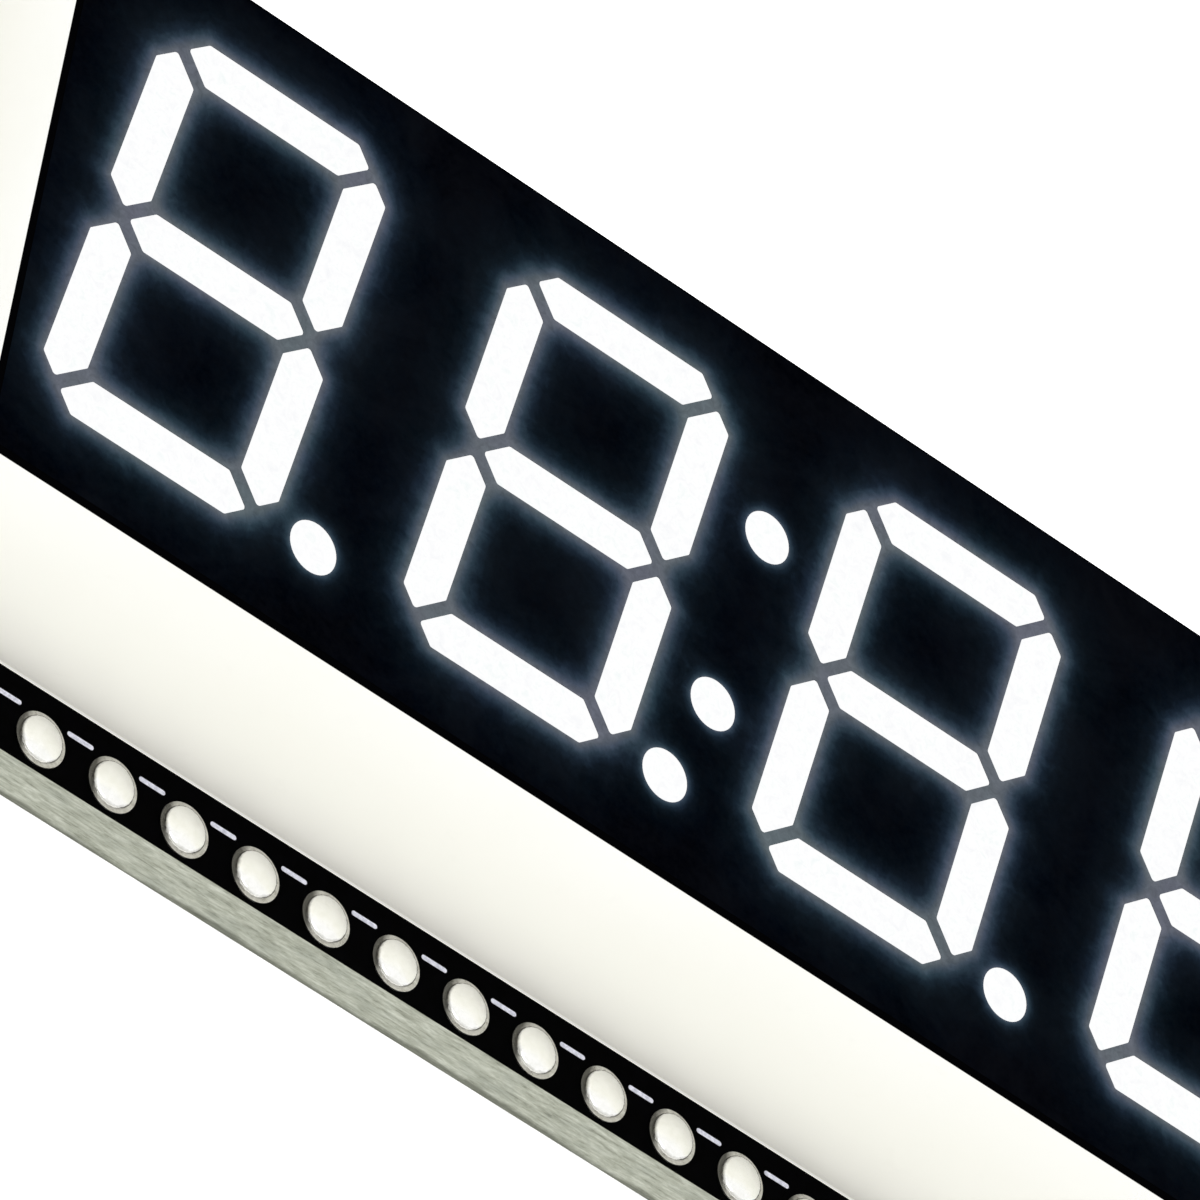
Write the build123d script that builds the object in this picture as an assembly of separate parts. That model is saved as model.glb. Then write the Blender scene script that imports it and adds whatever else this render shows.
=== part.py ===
from build123d import *
import math
import os

# Four-digit seven segment clock display on its carrier board, lying on its back with the face up.
# Millimetres. X runs along the digits, Y up a digit, Z out of the face.
# The origin is at the centre of the display, level with the tips of the contact pins.

# Driving dimensions: digits
digit_count = 4
digit_pitch = 12.7
digit_space = 4.445
digit_height = 14.2
stroke = 1.44
segment_gap = 0.42
slant_deg = 8.0
corner_radius = 0.12
dot_diameter = 1.6224
point_gap = 0.6556
colon_offset_y = 3.2
cavity_taper = 0.22

# Driving dimensions: display body
body_height = 7.2
wall_thickness = 1.0
edge_radius = 0.15
end_trim = 0.25
face_margin = 2.4

# Driving dimensions: light-emitting board, potting and contacts
led_board_thickness = 1.0
led_board_clearance = 0.2
chip_length = 0.8
chip_width = 0.5
chip_height = 0.26
chip_cover = 0.04
potting_cover = 0.6
underside_gap = 0.7
contact_pitch = 2.54
contact_inset = 1.88
contacts_per_row = 7
contact_diameter = 0.5
contact_tail = 1.1

# Driving dimensions: carrier board
board_thickness = 1.6
board_margin = 2.565
board_end_margin = 1.52
plating = 0.05
contact_hole_clearance = 0.25
contact_ring_width = 0.35
joint_waist_height = 0.3
joint_waist_width = 0.12
joint_short_of_tip = 0.35

# Driving dimensions: row of wiring pads
pad_count = 16
pad_pitch = 2.54
pad_row_shift = -0.52
pad_ring_diameter = 1.67
pad_ring_width = 0.325
pad_edge_clearance = 0.165
mound_rim_margin = 0.125
mound_height = 0.24
mound_shoulder_deg = 40.0

# Digits, worked out from the above
digit_width = digit_pitch - digit_space
point_offset_x = digit_width / 2 + point_gap + dot_diameter / 2
lean = math.tan(math.radians(slant_deg))

# Body and boards, worked out from the above
body_length = digit_count * digit_pitch - 2 * end_trim
body_width = digit_height + 2 * face_margin
recess_length = body_length - 2 * wall_thickness
recess_width = body_width - 2 * wall_thickness
led_board_length = recess_length - 2 * led_board_clearance
led_board_width = recess_width - 2 * led_board_clearance
board_length = body_length + 2 * board_end_margin
board_width = body_width + 2 * board_margin
contact_row_y = body_width / 2 - contact_inset
contact_hole_diameter = contact_diameter + 2 * contact_hole_clearance
contact_ring_diameter = contact_hole_diameter + 2 * contact_ring_width
pad_hole_diameter = pad_ring_diameter - 2 * pad_ring_width
mound_diameter = pad_ring_diameter - 2 * mound_rim_margin
pad_row_y = pad_edge_clearance + pad_ring_diameter / 2 - board_width / 2

# Levels, worked out from the above
board_bottom = contact_tail
board_top = board_bottom + board_thickness
face_level = board_top + body_height
potting_bottom = board_top + underside_gap
led_board_bottom = potting_bottom + potting_cover
led_board_top = led_board_bottom + led_board_thickness
chip_top = led_board_top + chip_height
recess_floor = chip_top + chip_cover
joint_height = contact_tail - joint_short_of_tip

os.makedirs("parts", exist_ok=True)


def save(name, shape):
    """Write one sub-part to its own file."""
    shape.label = name
    export_step(shape, f"parts/{name}.step")


def block(length, width, bottom, top, x=0.0, y=0.0):
    """Upright block between two levels, centred on x, y."""
    return Pos(x, y, bottom) * Box(
        length, width, top - bottom, align=(Align.CENTER, Align.CENTER, Align.MIN)
    )


def rod(diameter, bottom, top, x=0.0, y=0.0):
    """Upright round bar between two levels, centred on x, y."""
    return Pos(x, y, bottom) * Cylinder(
        diameter / 2, top - bottom, align=(Align.CENTER, Align.CENTER, Align.MIN)
    )


def slanted(x, y):
    """Lean an upright digit's point over to the right."""
    return x + lean * y, y


def segment_outlines():
    """Six-sided outlines of segments A to G about a digit's centre, before the slant."""
    half = stroke / 2
    column = digit_width / 2 - half
    row = digit_height / 2 - half
    mitre = segment_gap / math.sqrt(2)
    top = [
        (column - mitre / 2, row + mitre / 2),
        (column - half, row + half),
        (half - column, row + half),
        (mitre / 2 - column, row + mitre / 2),
        (half + mitre - column, row - half),
        (column - half - mitre, row - half),
    ]
    upper_right = [
        (column, mitre),
        (column + half, mitre + half),
        (column + half, row - half),
        (column + mitre / 2, row - mitre / 2),
        (column - half, row - half - mitre),
        (column - half, mitre + half),
    ]
    middle = [
        (column - mitre, 0.0),
        (column - mitre - half, half),
        (mitre + half - column, half),
        (mitre - column, 0.0),
        (mitre + half - column, -half),
        (column - mitre - half, -half),
    ]

    def mirrored(points, across, up):
        return [(x * across, y * up) for x, y in points]

    return {
        "a": top,
        "b": upper_right,
        "c": mirrored(upper_right, 1, -1),
        "d": mirrored(top, 1, -1),
        "e": mirrored(upper_right, -1, -1),
        "f": mirrored(upper_right, -1, 1),
        "g": middle,
    }


def outline_centre(points):
    """Middle of an outline's corners."""
    return (
        sum(x for x, y in points) / len(points),
        sum(y for x, y in points) / len(points),
    )


def segment_well(points, x, y):
    """Tapered well of one segment, from the face down to the recess floor."""
    wide = make_face(Polyline([slanted(*p) for p in points], close=True))
    wide = fillet(wide.vertices(), corner_radius)
    narrow = offset(wide, -cavity_taper, kind=Kind.INTERSECTION)
    levels = [Pos(x, y, recess_floor) * narrow, Pos(x, y, face_level) * wide]
    return loft([level.face() for level in levels], ruled=True)


def dot_well(x, y):
    """Tapered round well of a decimal point or a colon dot."""
    depth = face_level - recess_floor
    narrow = dot_diameter / 2 - cavity_taper
    return Pos(x, y, recess_floor) * Cone(
        narrow, dot_diameter / 2, depth, align=(Align.CENTER, Align.CENTER, Align.MIN)
    )


def light_places():
    """Where each digit's lights sit, with the colon last."""
    places = []
    for digit in range(digit_count):
        centre = (digit - (digit_count - 1) / 2) * digit_pitch
        spots = [slanted(*outline_centre(points)) for points in outlines.values()]
        spots.append(slanted(point_offset_x, -digit_height / 2 + stroke / 2))
        places.append([(centre + x, y) for x, y in spots])
    places.append([slanted(0.0, colon_offset_y), slanted(0.0, -colon_offset_y)])
    return places


def wells():
    """Every segment and dot well of the display."""
    cut = []
    for digit in range(digit_count):
        centre = (digit - (digit_count - 1) / 2) * digit_pitch
        cut += [segment_well(points, centre, 0.0) for points in outlines.values()]
        cut.append(dot_well(*lights[digit][-1]))
    cut += [dot_well(x, y) for x, y in lights[-1]]
    return cut


def contact_places():
    """Both rows of contact pins, numbered anticlockwise from the lower left."""
    middle = (contacts_per_row - 1) / 2
    steps = [(i - middle) * contact_pitch for i in range(contacts_per_row)]
    lower = [(x, -contact_row_y) for x in steps]
    upper = [(x, contact_row_y) for x in reversed(steps)]
    return lower + upper


def pad_places():
    """The row of wiring pads along the board's lower edge."""
    middle = (pad_count - 1) / 2
    return [
        (pad_row_shift + (i - middle) * pad_pitch, pad_row_y) for i in range(pad_count)
    ]


def reflector_housing():
    """Moulded white shell: walls, open back and the wells in its thick face."""
    shell = block(body_length, body_width, board_top, face_level)
    corners = shell.edges().filter_by(Axis.Z)
    rims = shell.faces().sort_by(Axis.Z)[-1].edges()
    shell = fillet(corners + rims, edge_radius)
    shell -= block(recess_length, recess_width, board_top, recess_floor)
    return shell - well_cuts


def chip(x, y):
    """One light-emitting chip on the light board."""
    return block(chip_length, chip_width, led_board_top, chip_top, x, y)


def led_board():
    """Board under the wells that carries the chips and holds the contact pins."""
    plate = block(led_board_length, led_board_width, led_board_bottom, led_board_top)
    return plate - [
        rod(contact_diameter, led_board_bottom, led_board_top, x, y) for x, y in contacts
    ]


def potting():
    """Clear resin cast round the light board and up into every well."""
    resin = block(recess_length, recess_width, potting_bottom, recess_floor)
    resin += well_cuts
    resin -= block(led_board_length, led_board_width, led_board_bottom, led_board_top)
    resin -= [chip(x, y) for group in lights for x, y in group]
    return resin - [
        rod(contact_diameter, potting_bottom, led_board_bottom, x, y) for x, y in contacts
    ]


def carrier_board():
    """Printed circuit board under the display, with its drilled holes."""
    plate = block(board_length, board_width, board_bottom, board_top)
    drilled = [
        rod(contact_hole_diameter + 2 * plating, board_bottom, board_top, x, y)
        for x, y in contacts
    ]
    drilled += [
        rod(pad_hole_diameter + 2 * plating, board_bottom, board_top, x, y)
        for x, y in pads
    ]
    return plate - drilled


def turned(points, x, y):
    """Solid of revolution about an upright axis, from radius and height pairs."""
    profile = make_face(Polyline([(r, 0.0, z) for r, z in points], close=True))
    return Pos(x, y, 0.0) * revolve(profile, Axis.Z)


def plated_hole(hole, ring, x, y, ring_on_top):
    """Copper lining of a drilled hole with a flat ring on the board's faces."""
    bore = hole / 2
    lining = bore + plating
    rim = ring / 2
    points = [(bore, board_bottom - plating), (rim, board_bottom - plating)]
    points += [(rim, board_bottom), (lining, board_bottom), (lining, board_top)]
    if ring_on_top:
        points += [(rim, board_top), (rim, board_top + plating), (bore, board_top + plating)]
    else:
        points += [(bore, board_top)]
    return turned(points, x, y)


def button(rim, base, rise):
    """Curve of a low button from its rim to its crown, in the plane of radius and height."""
    turn = math.radians(mound_shoulder_deg)
    shoulder = (rim * math.cos(turn), base + rise * math.sin(turn))
    upright = (0, math.copysign(1, rise))
    return Spline((rim, base), shoulder, (0, base + rise), tangents=[upright, (-1, 0)])


def solder_mound(x, y):
    """Solder that fills a wiring pad's hole and stands over it as a low button on each face."""
    bore = pad_hole_diameter / 2
    rim = mound_diameter / 2
    upper = board_top + plating
    lower = board_bottom - plating
    outline = [
        button(rim, upper, mound_height),
        Line((0, upper + mound_height), (0, lower - mound_height)),
        button(rim, lower, -mound_height),
        Line((rim, lower), (bore, lower)),
        Line((bore, lower), (bore, upper)),
        Line((bore, upper), (rim, upper)),
    ]
    profile = Rot(X=90) * make_face(outline)
    return Pos(x, y, 0.0) * revolve(profile, Axis.Z)


def contact_joint(x, y):
    """Solder round one contact pin: it fills the hole and stands as a cone on the back."""
    pin = contact_diameter / 2
    bore = contact_hole_diameter / 2
    rim = contact_ring_diameter / 2
    lower = board_bottom - plating
    waist = (pin + joint_waist_width, lower - joint_waist_height)
    points = [(pin, board_top), (bore, board_top), (bore, lower), (rim - plating, lower)]
    points += [waist, (pin + plating, lower - joint_height), (pin, lower - joint_height)]
    return turned(points, x, y)


outlines = segment_outlines()
lights = light_places()
contacts = contact_places()
pads = pad_places()
well_cuts = wells()

save("reflector_housing", reflector_housing())
save("potting_resin", potting())
save("led_board", led_board())
for number, group in enumerate(lights, start=1):
    group_name = "led_chips_colon" if number > digit_count else f"led_chips_digit_{number}"
    save(group_name, Compound(children=[chip(x, y) for x, y in group]))
for number, (x, y) in enumerate(contacts, start=1):
    save(f"contact_pin_{number:02d}", rod(contact_diameter, 0.0, led_board_top, x, y))

save("carrier_board", carrier_board())
linings = [
    plated_hole(contact_hole_diameter, contact_ring_diameter, x, y, False) for x, y in contacts
]
save("contact_hole_linings", Compound(children=linings))
save("contact_joints", Compound(children=[contact_joint(x, y) for x, y in contacts]))
for number, (x, y) in enumerate(pads, start=1):
    save(f"edge_pad_{number:02d}", plated_hole(pad_hole_diameter, pad_ring_diameter, x, y, True))
    save(f"edge_solder_{number:02d}", solder_mound(x, y))
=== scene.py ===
import math

import bpy
import numpy as np
from mathutils import Matrix, Vector
from mathutils.geometry import delaunay_2d_cdt
from mathutils.kdtree import KDTree


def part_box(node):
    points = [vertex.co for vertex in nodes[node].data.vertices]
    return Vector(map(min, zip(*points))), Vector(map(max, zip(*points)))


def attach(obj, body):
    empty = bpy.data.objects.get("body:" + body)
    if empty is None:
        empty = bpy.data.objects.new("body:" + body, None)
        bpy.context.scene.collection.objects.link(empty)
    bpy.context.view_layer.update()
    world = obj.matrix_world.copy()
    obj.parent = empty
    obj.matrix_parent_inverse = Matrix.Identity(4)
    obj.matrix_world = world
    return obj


MM = 0.001

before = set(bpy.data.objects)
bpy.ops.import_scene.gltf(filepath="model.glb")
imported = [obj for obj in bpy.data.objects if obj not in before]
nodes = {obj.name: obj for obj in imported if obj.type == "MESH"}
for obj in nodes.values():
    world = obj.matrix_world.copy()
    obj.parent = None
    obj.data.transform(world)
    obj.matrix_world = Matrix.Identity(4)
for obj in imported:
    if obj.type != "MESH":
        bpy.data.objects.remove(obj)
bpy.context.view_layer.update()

# Levels and edges, read from the frame, in metres.
housing_low, housing_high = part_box("reflector_housing")
board_low, board_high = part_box("carrier_board")
FACE = housing_high.z
BOARD_TOP = board_high.z
BOARD_BOTTOM = board_low.z

# The camera: where it looks on the face, and from where.
TARGET = Vector((-4.78 * MM, -2.24 * MM, FACE))
CAMERA_AZIMUTH = math.radians(-37.229)
CAMERA_ELEVATION = math.radians(40.483)
CAMERA_ROLL = math.radians(-59.389)
CAMERA_DISTANCE = 356.81 * MM
CAMERA_LENS = 391.99
CAMERA_SENSOR = 36.0
CLIP_START = 0.01
CLIP_END = 10.0

# Below, sizes without MM are numbers of millimetres, for outlines and material coordinates.

# The black print over the face, and how finely its mesh is laid out.
PRINT_LIFT = 0.012 * MM
PRINT_PITCH = 0.35
RIM_STEP = 0.22
RIM_CLEARANCE = 0.06
MERGE_DISTANCE = 1e-4

# What counts as the housing's flat face: how level it is, and how near the top.
FACE_LEVEL = 0.999
FACE_TOLERANCE = 0.01 * MM

# The painted glow on the ink round the lit wells. A well up to DOT_SPAN wide is a dot, and glows less.
GLOW_RINGS = (0.1, 0.21, 0.34)
GLOW_REACH = 0.3
GLOW_SPAN = 2.7
DOT_SPAN = 1.9
DOT_FADE = 1.9
DOT_START = 0.2

# The wall: up to what height painted shade darkens it towards the board, how far down its rim the ink
# goes, and the painted glowing line at its foot.
WALL_SHADE_HEIGHT = 7.0
RIM_INK_START = 0.145
RIM_INK_FULL = 0.125
FOOT_GLOW_FULL = 0.06
FOOT_GLOW_END = 0.13
FOOT_GLOW_LEVEL = 0.3

# How far the wiring pads' copper stands above the board, and up to what height painted shade darkens the
# solder round its base.
PAD_STEP = 0.05
SOLDER_SHADE_FULL = 0.06
SOLDER_SHADE_END = 0.12

# The darker band along the bottom of a board's sawn edge.
BOTTOM_DARK_FULL = 0.08
BOTTOM_DARK_END = 0.24

# The middle range of a noise, over which tones and values vary.
NOISE_LOW = 0.3
NOISE_HIGH = 0.7

# The studio, in metres: how bright the surround is as a light, how much of the floor's own white
# shows, how far the floor reaches, and the one lamp.
SURROUND_LEVEL = 0.96
FLOOR_LEVEL = 0.75
FLOOR_REACH = 0.6
KEY_PLACE = (-0.25, -0.35, 0.45)
KEY_SIZE = 0.4
KEY_POWER = 1.0

# The printed dashes between the wiring pads.
DASH_LENGTH = 0.92 * MM
DASH_WIDTH = 0.15 * MM
DASH_HEIGHT = 0.012 * MM
DASH_FROM_PADS = 0.75 * MM
DASH_END_STEPS = 6


def srgb(red, green, blue):
    """Linear colour of a screen colour given as 0 to 255."""
    def linear(value):
        value = value / 255
        return value / 12.92 if value <= 0.04045 else ((value + 0.055) / 1.055) ** 2.4
    return linear(red), linear(green), linear(blue), 1.0


def add_object(data):
    """Put a mesh, light or camera into the scene under its own name."""
    made = bpy.data.objects.new(data.name, data)
    bpy.context.scene.collection.objects.link(made)
    return made


class Material:
    """A node material with short calls for the nodes that the finishes share."""

    def __init__(self, name, **inputs):
        self.material = bpy.data.materials.new(name)
        self.material.use_nodes = True
        self.tree = self.material.node_tree
        self.shader = self.tree.nodes["Principled BSDF"]
        self.texture = self.node("ShaderNodeTexCoord")
        self.coordinates = self.texture.outputs["Object"]
        for socket, value in inputs.items():
            self.shader.inputs[socket.replace("_", " ")].default_value = value

    def node(self, kind, **settings):
        made = self.tree.nodes.new(kind)
        for name, value in settings.items():
            setattr(made, name, value)
        return made

    def link(self, source, target):
        self.tree.links.new(source, target)

    def feed(self, socket, source):
        self.link(source, self.shader.inputs[socket])

    def stretched(self, x=1.0, y=1.0, z=1.0):
        """Object coordinates in millimetres, stretched along the axes."""
        mapping = self.node("ShaderNodeMapping")
        mapping.inputs["Scale"].default_value = (x / MM, y / MM, z / MM)
        self.link(self.coordinates, mapping.inputs["Vector"])
        return mapping.outputs["Vector"]

    def noise(self, scale, detail=3.0, roughness=0.5, distortion=0.0, vector=None):
        made = self.node("ShaderNodeTexNoise")
        made.inputs["Scale"].default_value = scale
        made.inputs["Detail"].default_value = detail
        made.inputs["Roughness"].default_value = roughness
        made.inputs["Distortion"].default_value = distortion
        self.link(vector or self.stretched(), made.inputs["Vector"])
        return made.outputs["Fac"]

    def ramp(self, source, stops, ease="LINEAR"):
        """Colour ramp from pairs of place and colour."""
        made = self.node("ShaderNodeValToRGB")
        made.color_ramp.interpolation = ease
        elements = made.color_ramp.elements
        while len(elements) < len(stops):
            elements.new(1.0)
        for element, (place, colour) in zip(elements, stops):
            element.position = place
            element.color = colour
        self.link(source, made.inputs["Fac"])
        return made.outputs["Color"]

    def spread(self, source, low, high, out_low=0.0, out_high=1.0):
        """Map a range of values onto another range, clamped."""
        made = self.node("ShaderNodeMapRange")
        limits = {"From Min": low, "From Max": high, "To Min": out_low, "To Max": out_high}
        for socket, value in limits.items():
            made.inputs[socket].default_value = value
        self.link(source, made.inputs["Value"])
        return made.outputs["Result"]

    def two_tone(self, source, dark, light):
        """A colour that follows a noise from dark to light."""
        return self.ramp(source, [(NOISE_LOW, dark), (NOISE_HIGH, light)])

    def vary(self, source, low, high):
        """A value that follows a noise from low to high."""
        return self.spread(source, NOISE_LOW, NOISE_HIGH, low, high)

    def math(self, operation, first, second):
        made = self.node("ShaderNodeMath", operation=operation)
        for place, value in enumerate((first, second)):
            if isinstance(value, (int, float)):
                made.inputs[place].default_value = value
            else:
                self.link(value, made.inputs[place])
        return made.outputs["Value"]

    def mix(self, factor, first, second, blend="MIX"):
        """Mix two colours, each a colour or a socket."""
        made = self.node("ShaderNodeMix", data_type="RGBA", blend_type=blend)
        for place, value in zip((0, 6, 7), (factor, first, second)):
            if isinstance(value, (int, float, tuple)):
                made.inputs[place].default_value = value
            else:
                self.link(value, made.inputs[place])
        return made.outputs[2]

    def split(self, vector):
        made = self.node("ShaderNodeSeparateXYZ")
        self.link(vector, made.inputs["Vector"])
        return made.outputs

    def across(self):
        """Place across the node's own box, from 0 to 1."""
        return self.split(self.texture.outputs["Generated"])["X"]

    def height(self):
        """Height above the origin in millimetres."""
        return self.split(self.stretched())["Z"]

    def normal(self):
        return self.split(self.node("ShaderNodeNewGeometry").outputs["Normal"])

    def bump(self, source, distance, strength=1.0):
        made = self.node("ShaderNodeBump")
        made.inputs["Strength"].default_value = strength
        made.inputs["Distance"].default_value = distance * MM
        self.link(source, made.inputs["Height"])
        self.feed("Normal", made.outputs["Normal"])


def white_moulding():
    """Satin white plastic, faintly marked, darkened towards the board by painted shade, with a painted
    glowing line at its foot and black ink on its rim.
    """
    sheen = 0.35
    made = Material("white_moulding", Specular_IOR_Level=sheen, Emission_Color=srgb(255, 254, 246))
    above_board = made.math("SUBTRACT", made.height(), BOARD_TOP / MM)
    # Painted shade: the wall's colour darkens from its top down to the board.
    body = made.ramp(
        made.spread(above_board, 0.0, WALL_SHADE_HEIGHT),
        [
            (0.0, srgb(243, 241, 233)),
            (0.35, srgb(248, 247, 238)),
            (0.6, srgb(248, 247, 239)),
            (1.0, srgb(250, 250, 246)),
        ],
    )
    warm = made.spread(made.noise(0.12, 2.0), 0.4, 0.7, 0.0, 0.35)
    body = made.mix(warm, body, srgb(244, 243, 233))
    marks = made.spread(made.noise(0.9, 6.0, 0.7, 0.6), 0.62, 0.78, 0.0, 0.06)
    body = made.mix(marks, body, srgb(196, 192, 180))
    rim = made.spread(made.height(), FACE / MM - RIM_INK_START, FACE / MM - RIM_INK_FULL)
    # Painted light: the plastic glows in a thin line just above the board.
    foot_glow = made.spread(above_board, FOOT_GLOW_FULL, FOOT_GLOW_END, FOOT_GLOW_LEVEL, 0.0)
    made.feed("Base Color", made.mix(rim, body, srgb(3, 3, 4)))
    made.feed("Emission Strength", foot_glow)
    made.feed("Specular IOR Level", made.spread(rim, 0.0, 1.0, sheen, 0.0))
    made.feed("Roughness", made.vary(made.noise(3.0, 4.0), 0.42, 0.58))
    made.bump(made.noise(9.0, 5.0, 0.6), 0.004, 0.5)
    return made.material


def lit_resin():
    """Milky resin lit from below: white with a barely visible mottle."""
    made = Material(
        "lit_resin",
        Base_Color=srgb(20, 21, 22),
        Roughness=0.35,
        Specular_IOR_Level=0.05,
        Emission_Strength=1.0,
    )
    tones = [(0.3, srgb(243, 248, 248)), (0.48, srgb(254, 254, 254)), (0.7, srgb(245, 246, 248))]
    made.feed("Emission Color", made.ramp(made.noise(2.6, 7.0, 0.7, 0.6), tones))
    made.bump(made.noise(6.0, 3.0), 0.003, 0.4)
    return made.material


def painted_glow(made):
    """Colour of the painted glow on the ink, by distance from the lit wells."""
    distance = made.node("ShaderNodeAttribute", attribute_name="light_distance").outputs["Fac"]
    streaks = made.spread(made.noise(1.5, 6.0, 0.65, 0.6), 0.25, 0.75, 0.8, 1.24)
    place = made.math("DIVIDE", made.math("MULTIPLY", distance, streaks), GLOW_SPAN)
    glow = made.ramp(
        place,
        [
            (0.0, srgb(98, 104, 111)),
            (0.035, srgb(84, 92, 100)),
            (0.08, srgb(65, 77, 90)),
            (0.13, srgb(42, 57, 69)),
            (0.2, srgb(22, 34, 45)),
            (0.29, srgb(10, 19, 27)),
            (0.42, srgb(4, 10, 17)),
            (0.7, srgb(0, 3, 9)),
            (1.0, srgb(0, 1, 5)),
        ],
    )
    tint = made.ramp(
        made.noise(0.35, 2.0),
        [(0.35, (0.92, 1.0, 0.97, 1.0)), (0.5, (1.0, 1.0, 1.0, 1.0)), (0.65, (1.02, 0.97, 1.06, 1.0))],
    )
    return made.mix(1.0, glow, tint, "MULTIPLY")


def face_ink():
    """Black ink over the face, slightly hazy, with a painted glow round each lit segment."""
    made = Material("face_ink", Specular_IOR_Level=0.0)
    grain = made.noise(5.0, 4.0, 0.6)
    haze = made.spread(made.noise(0.28, 5.0, 0.6, 0.8), 0.4, 0.75)
    ink = made.two_tone(grain, srgb(1, 1, 1), srgb(5, 5, 5))
    made.feed("Base Color", made.mix(haze, ink, srgb(11, 12, 14)))
    # Painted light: the ink glows round the lit wells.
    made.feed("Emission Color", painted_glow(made))
    made.feed("Emission Strength", made.vary(made.noise(3.5, 5.0, 0.7, 0.8), 0.78, 1.18))
    made.feed("Roughness", made.vary(grain, 0.7, 0.9))
    made.bump(grain, 0.003, 0.4)
    return made.material


def sawn_edge(made, fibres):
    """Colour of a board's sawn edge: pale fibres, duller patches and a darker band along the bottom."""
    cut = made.ramp(
        fibres,
        [
            (0.3, srgb(118, 121, 109)),
            (0.42, srgb(160, 163, 149)),
            (0.52, srgb(180, 183, 169)),
            (0.68, srgb(210, 213, 201)),
        ],
    )
    patches = made.noise(0.5, 4.0, 0.6, 0.0, made.stretched(1.0, 1.0, 2.0))
    cut = made.mix(made.spread(patches, 0.48, 0.68, 0.0, 0.4), cut, srgb(158, 163, 154))
    wander = made.vary(made.noise(0.3, 5.0, 0.7), -0.1, 0.14)
    depth = made.math("SUBTRACT", made.math("SUBTRACT", made.height(), BOARD_BOTTOM / MM), wander)
    # The edge turns darker towards its bottom.
    bottom_dark = made.spread(depth, BOTTOM_DARK_FULL, BOTTOM_DARK_END, 0.7, 0.0)
    return made.mix(bottom_dark, cut, srgb(84, 86, 76))


def board_laminate(name, mask_low, mask_high, mask_roughness):
    """Glass fibre board: solder mask on its faces, sawn fibrous laminate round its edges."""
    made = Material(name, Specular_IOR_Level=0.01)
    mask = made.two_tone(made.noise(2.2, 3.0), mask_low, mask_high)
    edge = made.math("LESS_THAN", made.math("ABSOLUTE", made.normal()["Z"], 0.0), 0.5)
    fibres = made.noise(1.0, 8.0, 0.75, 0.2, made.stretched(1.3, 1.3, 8.0))
    made.feed("Base Color", made.mix(edge, mask, sawn_edge(made, fibres)))
    made.feed("Roughness", made.spread(edge, 0.0, 1.0, mask_roughness, 0.85))
    relief = made.math("MULTIPLY", fibres, made.spread(edge, 0.0, 1.0, 0.1, 1.0))
    made.bump(relief, 0.05, 0.5)
    return made.material


def frosted_metal(name, roughness_low, roughness_high, relief=0.02, strength=0.35):
    """Metal with a fine crystal frost: the material before it is coloured, and the frost's noise."""
    made = Material(name, Metallic=1.0)
    frost = made.noise(4.5, 5.0, 0.65, 0.5)
    made.feed("Roughness", made.vary(frost, roughness_low, roughness_high))
    made.bump(made.noise(3.2, 4.0, 0.6), relief, strength)
    return made, frost


def pin_finish():
    """Tinned wire of the contact pins."""
    made, frost = frosted_metal("tinned_pin", 0.2, 0.35)
    made.feed("Base Color", made.two_tone(frost, srgb(180, 178, 170), srgb(222, 220, 214)))
    return made.material


def pad_finish():
    """Tinned copper, with painted shade along one side of its hole, on the side towards -X."""
    made, frost = frosted_metal("tinned_pad", 0.22, 0.4)
    out_of_shade = made.two_tone(frost, srgb(168, 166, 160), srgb(218, 217, 212))
    wander = made.vary(made.noise(2.0, 4.0, 0.6), -0.06, 0.06)
    # Painted shade: the pad darkens towards its -X side.
    shaded_side = made.spread(made.math("ADD", made.across(), wander), 0.12, 0.3)
    made.feed("Base Color", made.mix(shaded_side, srgb(92, 91, 87), out_of_shade))
    return made.material


def solder_finish():
    """Bright solder with painted shade round its base where it meets its pad: darker towards +X, lighter
    on the flank that faces -Y.
    """
    made, frost = frosted_metal("solder", 0.14, 0.26, 0.015, 0.3)
    bright = made.ramp(frost, [(0.3, srgb(248, 248, 244)), (0.6, srgb(255, 255, 253))])
    # Painted shade: the solder darkens near its pad and turns bright higher up.
    from_middle = made.math("SUBTRACT", made.height(), (BOARD_TOP + BOARD_BOTTOM) / (2 * MM))
    ring_level = (BOARD_TOP - BOARD_BOTTOM) / (2 * MM) + PAD_STEP
    above_ring = made.math("SUBTRACT", made.math("ABSOLUTE", from_middle, 0.0), ring_level)
    wander = made.vary(made.noise(2.4, 4.0, 0.6), -0.02, 0.02)
    out_of_shade = made.spread(made.math("ADD", above_ring, wander), SOLDER_SHADE_FULL, SOLDER_SHADE_END)
    # Painted shade round the base: darker towards +X, lighter where the surface faces -Y.
    base_shade = made.mix(made.spread(made.across(), 0.3, 0.75), srgb(158, 157, 151), srgb(84, 83, 78))
    side_shade = made.spread(made.normal()["Y"], -0.8, -0.3)
    shaded_base = made.mix(side_shade, srgb(205, 204, 198), base_shade)
    made.feed("Base Color", made.mix(out_of_shade, shaded_base, bright))
    return made.material


def phosphor():
    """Yellow phosphor cap of a light chip."""
    made = Material("phosphor", Roughness=0.6)
    grain = made.noise(14.0, 4.0)
    made.feed("Base Color", made.two_tone(grain, srgb(232, 205, 84), srgb(246, 226, 120)))
    made.bump(grain, 0.01, 0.5)
    return made.material


def silk_ink():
    """White legend ink, slightly blue and uneven over the mask."""
    made = Material("silk_ink", Roughness=0.6, Specular_IOR_Level=0.2)
    wear = made.noise(7.0, 4.0, 0.6)
    made.feed("Base Color", made.ramp(wear, [(0.3, srgb(176, 178, 192)), (0.65, srgb(222, 222, 234))]))
    made.bump(wear, 0.006, 0.4)
    return made.material


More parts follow.
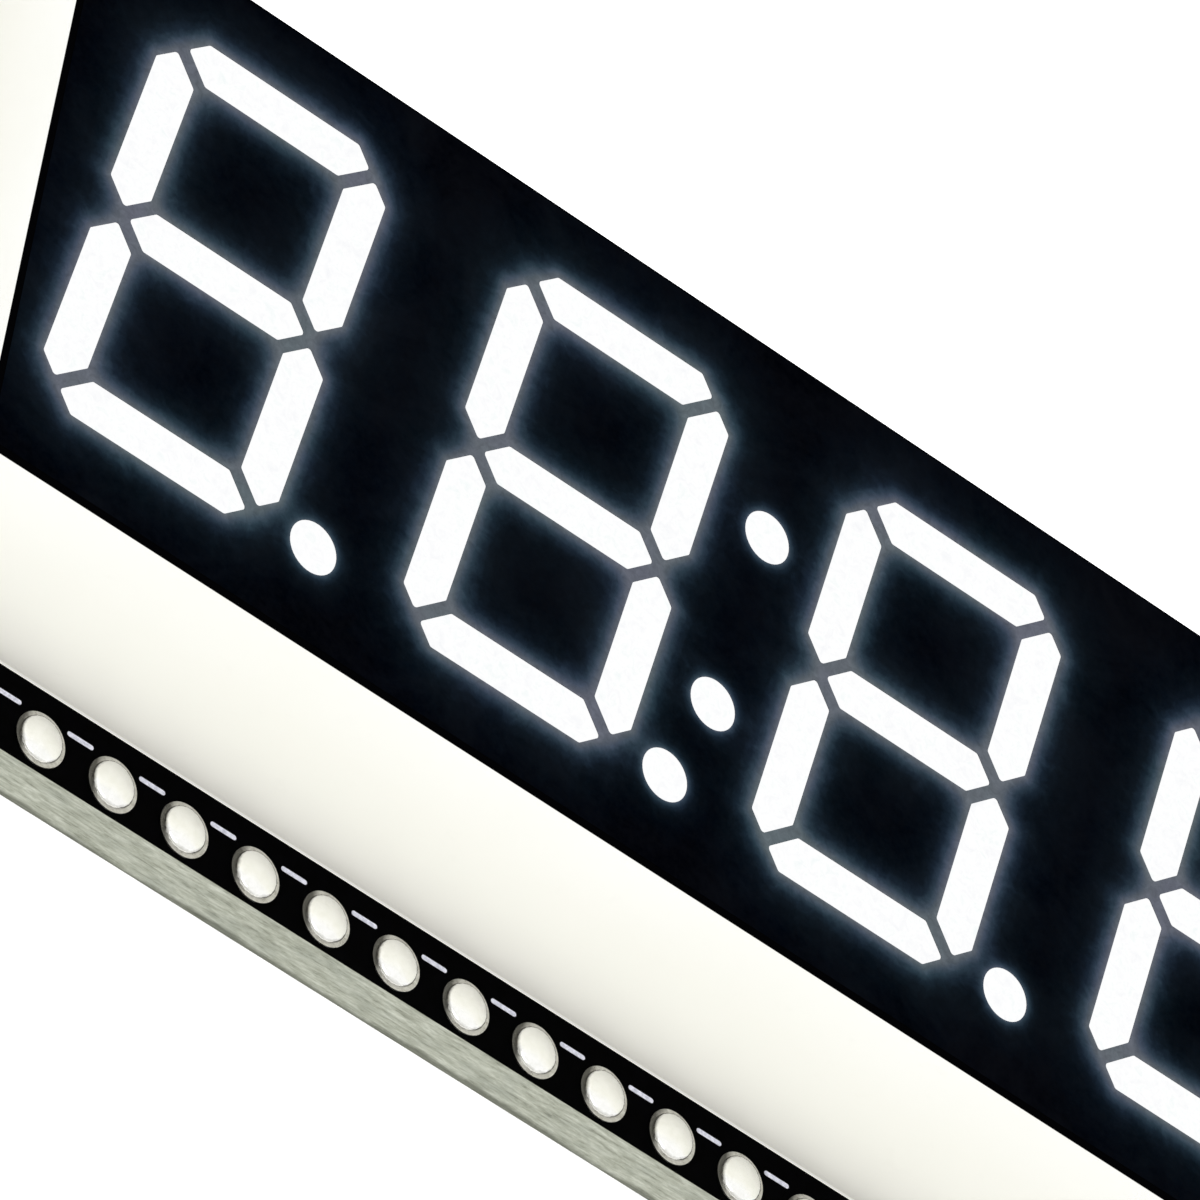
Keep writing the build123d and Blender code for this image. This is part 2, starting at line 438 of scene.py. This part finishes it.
def finish_nodes():
    """Give each CAD node its material."""
    pad_metal = pad_finish()
    solder = solder_finish()
    finishes = {
        "reflector_housing": white_moulding(),
        "potting_resin": lit_resin(),
        "led_board": board_laminate("light_board", srgb(22, 84, 44), srgb(30, 98, 52), 0.4),
        "carrier_board": board_laminate("black_board", srgb(0, 0, 0), srgb(1, 1, 2), 0.6),
        "led_chips": phosphor(),
        "contact_pin": pin_finish(),
        "contact_hole_linings": pad_metal,
        "contact_joints": solder,
        "edge_pad": pad_metal,
        "edge_solder": solder,
    }
    for name, node in nodes.items():
        finish = next(finishes[start] for start in finishes if name.startswith(start))
        node.data.materials.clear()
        node.data.materials.append(finish)


def face_loops():
    """Closed outlines of the housing's flat face, in millimetres, the outer one first."""
    mesh = nodes["reflector_housing"].data
    points = np.array([v.co for v in mesh.vertices]) / MM
    keys = [tuple(np.round(p, 4)) for p in points]
    sides = {}
    for polygon in mesh.polygons:
        if polygon.normal.z < FACE_LEVEL or polygon.center.z < FACE - FACE_TOLERANCE:
            continue
        corners = [keys[i] for i in polygon.vertices]
        for start, end in zip(corners, corners[1:] + corners[:1]):
            sides[start, end] = True
    border = {start: end for start, end in sides if (end, start) not in sides}
    loops = []
    while border:
        start, point = border.popitem()
        loop = [start]
        while point != start:
            loop.append(point)
            point = border.pop(point)
        loops.append(np.array(loop)[:, :2])
    return sorted(loops, key=lambda loop: -np.ptp(loop[:, 0]))


def resample(loop, step):
    """Points along a closed outline, keeping its corners."""
    out = []
    for start, end in zip(loop, np.roll(loop, -1, axis=0)):
        count = max(1, int(np.ceil(np.linalg.norm(end - start) / step)))
        out += [start + (end - start) * k / count for k in range(count)]
    return np.array(out)


def inside(points, loop):
    """Which points lie inside a closed outline."""
    result = np.zeros(len(points), bool)
    for (x0, y0), (x1, y1) in zip(loop, np.roll(loop, -1, axis=0)):
        crosses = (y0 > points[:, 1]) != (y1 > points[:, 1])
        rise = y1 - y0 if y1 != y0 else 1.0
        result ^= crosses & (points[:, 0] < (x1 - x0) * (points[:, 1] - y0) / rise + x0)
    return result


def outward(loop, distance):
    """Points a small distance outside an outline."""
    along = np.roll(loop, -1, axis=0) - np.roll(loop, 1, axis=0)
    along /= np.linalg.norm(along, axis=1)[:, None]
    side = np.stack([along[:, 1], -along[:, 0]], axis=1)
    middle = loop.mean(axis=0)
    sign = np.sign(((loop - middle) * side).sum(axis=1))[:, None]
    return loop + side * sign * distance


def rim_tree(loops):
    """Search tree over closely spaced points on some outlines."""
    points = np.concatenate([resample(loop, RIM_STEP / 4) for loop in loops])
    tree = KDTree(len(points))
    for index, (x, y) in enumerate(points):
        tree.insert((x, y, 0.0), index)
    tree.balance()
    return tree


def glow_distance(points, wells):
    """How far each point seems from the light: near wells add up, and the small dots count as weaker."""
    total = np.zeros(len(points))
    for loop in wells:
        rim = resample(loop, RIM_STEP / 2)
        gap = np.sqrt(((points[:, None] - rim[None]) ** 2).sum(axis=2).min(axis=1))
        if np.ptp(loop, axis=0).max() < DOT_SPAN:
            gap = DOT_FADE * gap + DOT_START
        total += np.exp(-gap / GLOW_REACH)
    return -GLOW_REACH * np.log(total)


def on_skin(points, outer, wells):
    """Which points lie on the face and outside every well."""
    result = inside(points, outer)
    for loop in wells:
        result &= ~inside(points, loop)
    return result


def skin_points(outer, wells):
    """Points across the ink skin: a plain grid, and rings close round each well."""
    low, high = outer.min(axis=0), outer.max(axis=0)
    columns = np.arange(low[0] + PRINT_PITCH / 2, high[0], PRINT_PITCH)
    rows = np.arange(low[1] + PRINT_PITCH / 2, high[1], PRINT_PITCH)
    grid = np.array([(x, y) for y in rows for x in columns])
    rings = [outward(loop, ring) for loop in wells for ring in GLOW_RINGS]
    points = np.concatenate([grid] + rings)
    points = points[on_skin(points, outer, wells)]
    rim = rim_tree(wells)
    clear = np.array([rim.find((x, y, 0.0))[2] > RIM_CLEARANCE for x, y in points])
    return points[clear]


def skin_mesh(outer, wells):
    """The ink skin laid flat: its points in millimetres, and its faces."""
    points, edges = [], []
    for loop in [outer] + wells:
        first, count = len(points), len(loop)
        points += [Vector(p) for p in loop]
        edges += [(first + i, first + (i + 1) % count) for i in range(count)]
    points += [Vector(p) for p in skin_points(outer, wells)]
    flat, _, faces, _, _, _ = delaunay_2d_cdt(points, edges, [], 0, MERGE_DISTANCE)
    flat = np.array([tuple(p) for p in flat])
    middles = np.array([flat[list(face)].mean(axis=0) for face in faces])
    keep = on_skin(middles, outer, wells)
    return flat, [tuple(face) for face, wanted in zip(faces, keep) if wanted]


def face_print():
    """Thin ink skin on the face, cut round every well, that knows how far each point is from the light."""
    outer, *wells = face_loops()
    wells = [resample(loop, RIM_STEP) for loop in wells]
    flat, faces = skin_mesh(resample(outer, PRINT_PITCH), wells)
    mesh = bpy.data.meshes.new("face_print")
    mesh.from_pydata([(x * MM, y * MM, FACE + PRINT_LIFT) for x, y in flat], [], faces)
    distance = mesh.attributes.new("light_distance", "FLOAT", "POINT")
    distance.data.foreach_set("value", glow_distance(flat, wells))
    mesh.materials.append(face_ink())
    piece = add_object(mesh)
    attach(piece, "root")


def dash_outline(x, y):
    """Round-ended bar outline, anticlockwise."""
    radius = DASH_WIDTH / 2
    reach = DASH_LENGTH / 2 - radius
    points = []
    for side in (1, -1):
        for step in range(DASH_END_STEPS + 1):
            angle = math.radians(-90 + 180 * step / DASH_END_STEPS) + (0 if side == 1 else math.pi)
            points.append((x + side * reach + radius * math.cos(angle), y + radius * math.sin(angle)))
    return points


def pad_dashes():
    """One printed dash between each pair of neighbouring wiring pads."""
    pads = sorted(name for name in nodes if name.startswith("edge_pad"))
    centres = [(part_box(name)[0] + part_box(name)[1]) / 2 for name in pads]
    pitch = centres[1].x - centres[0].x
    mesh = bpy.data.meshes.new("pad_dashes")
    points, faces = [], []
    for centre in centres[:-1]:
        outline = dash_outline(centre.x + pitch / 2, centre.y + DASH_FROM_PADS)
        first, count = len(points), len(outline)
        points += [(x, y, BOARD_TOP) for x, y in outline]
        points += [(x, y, BOARD_TOP + DASH_HEIGHT) for x, y in outline]
        faces.append([first + count + i for i in range(count)])
        for i in range(count):
            j = (i + 1) % count
            faces.append([first + i, first + j, first + count + j, first + count + i])
    mesh.from_pydata(points, [], faces)
    mesh.materials.append(silk_ink())
    piece = add_object(mesh)
    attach(piece, "root")


def seen_directly(tree):
    """Socket that is 1 for camera, mirrored and passed-through rays, and 0 for the rest."""
    path = tree.nodes.new("ShaderNodeLightPath").outputs
    seen = path["Is Camera Ray"]
    for ray in ("Is Glossy Ray", "Is Transmission Ray"):
        either = tree.nodes.new("ShaderNodeMath")
        either.operation = "MAXIMUM"
        tree.links.new(seen, either.inputs[0])
        tree.links.new(path[ray], either.inputs[1])
        seen = either.outputs["Value"]
    return seen


def background_material():
    """White floor that keeps a soft shadow and reads as white to the camera and in reflections."""
    made = Material(
        "floor_white",
        Base_Color=srgb(235, 235, 235),
        Roughness=0.9,
        Specular_IOR_Level=0.0,
        Emission_Color=(1.0, 1.0, 1.0, 1.0),
    )
    made.feed("Emission Strength", made.math("MULTIPLY", seen_directly(made.tree), FLOOR_LEVEL))
    return made.material


def lay_floor():
    """Pale floor under the object."""
    reach = FLOOR_REACH
    mesh = bpy.data.meshes.new("floor")
    corners = [(-reach, -reach, 0), (reach, -reach, 0), (reach, reach, 0), (-reach, reach, 0)]
    mesh.from_pydata(corners, [], [(0, 1, 2, 3)])
    mesh.materials.append(background_material())
    floor = add_object(mesh)


def surround():
    """Even white light from all round, pure white where it is seen directly."""
    world = bpy.data.worlds.new("studio")
    bpy.context.scene.world = world
    world.use_nodes = True
    tree = world.node_tree
    background = tree.nodes["Background"]
    background.inputs["Color"].default_value = (1.0, 1.0, 0.99, 1.0)
    level = tree.nodes.new("ShaderNodeMapRange")
    level.inputs["To Min"].default_value = SURROUND_LEVEL
    level.inputs["To Max"].default_value = 1.0
    tree.links.new(seen_directly(tree), level.inputs["Value"])
    tree.links.new(level.outputs["Result"], background.inputs["Strength"])


def lamp(name, place, size, power):
    """Soft square lamp aimed at the middle of the object."""
    light = bpy.data.lights.new(name, "AREA")
    light.size = size
    light.energy = power
    lamp_object = add_object(light)
    lamp_object.location = place
    aim = Vector((0.0, 0.0, FACE / 2)) - Vector(place)
    lamp_object.rotation_euler = aim.to_track_quat("-Z", "Y").to_euler()


def camera():
    """Close camera on the lower left of the display, turned well over to the left."""
    back = Vector((
        math.sin(CAMERA_AZIMUTH) * math.cos(CAMERA_ELEVATION),
        -math.cos(CAMERA_AZIMUTH) * math.cos(CAMERA_ELEVATION),
        math.sin(CAMERA_ELEVATION),
    ))
    level_right = Vector((0, 0, 1)).cross(back).normalized()
    level_up = back.cross(level_right)
    up = level_up * math.cos(CAMERA_ROLL) + level_right * math.sin(CAMERA_ROLL)
    right = up.cross(back)
    turn = Matrix((right, up, back)).transposed().to_4x4()
    data = bpy.data.cameras.new("camera")
    data.sensor_width = CAMERA_SENSOR
    data.lens = CAMERA_LENS
    data.clip_start = CLIP_START
    data.clip_end = CLIP_END
    view = add_object(data)
    view.matrix_world = Matrix.Translation(TARGET + back * CAMERA_DISTANCE) @ turn
    bpy.context.scene.camera = view


finish_nodes()
face_print()
pad_dashes()
lay_floor()
surround()
lamp("key", KEY_PLACE, KEY_SIZE, KEY_POWER)
camera()
bpy.context.scene.view_settings.view_transform = "Standard"
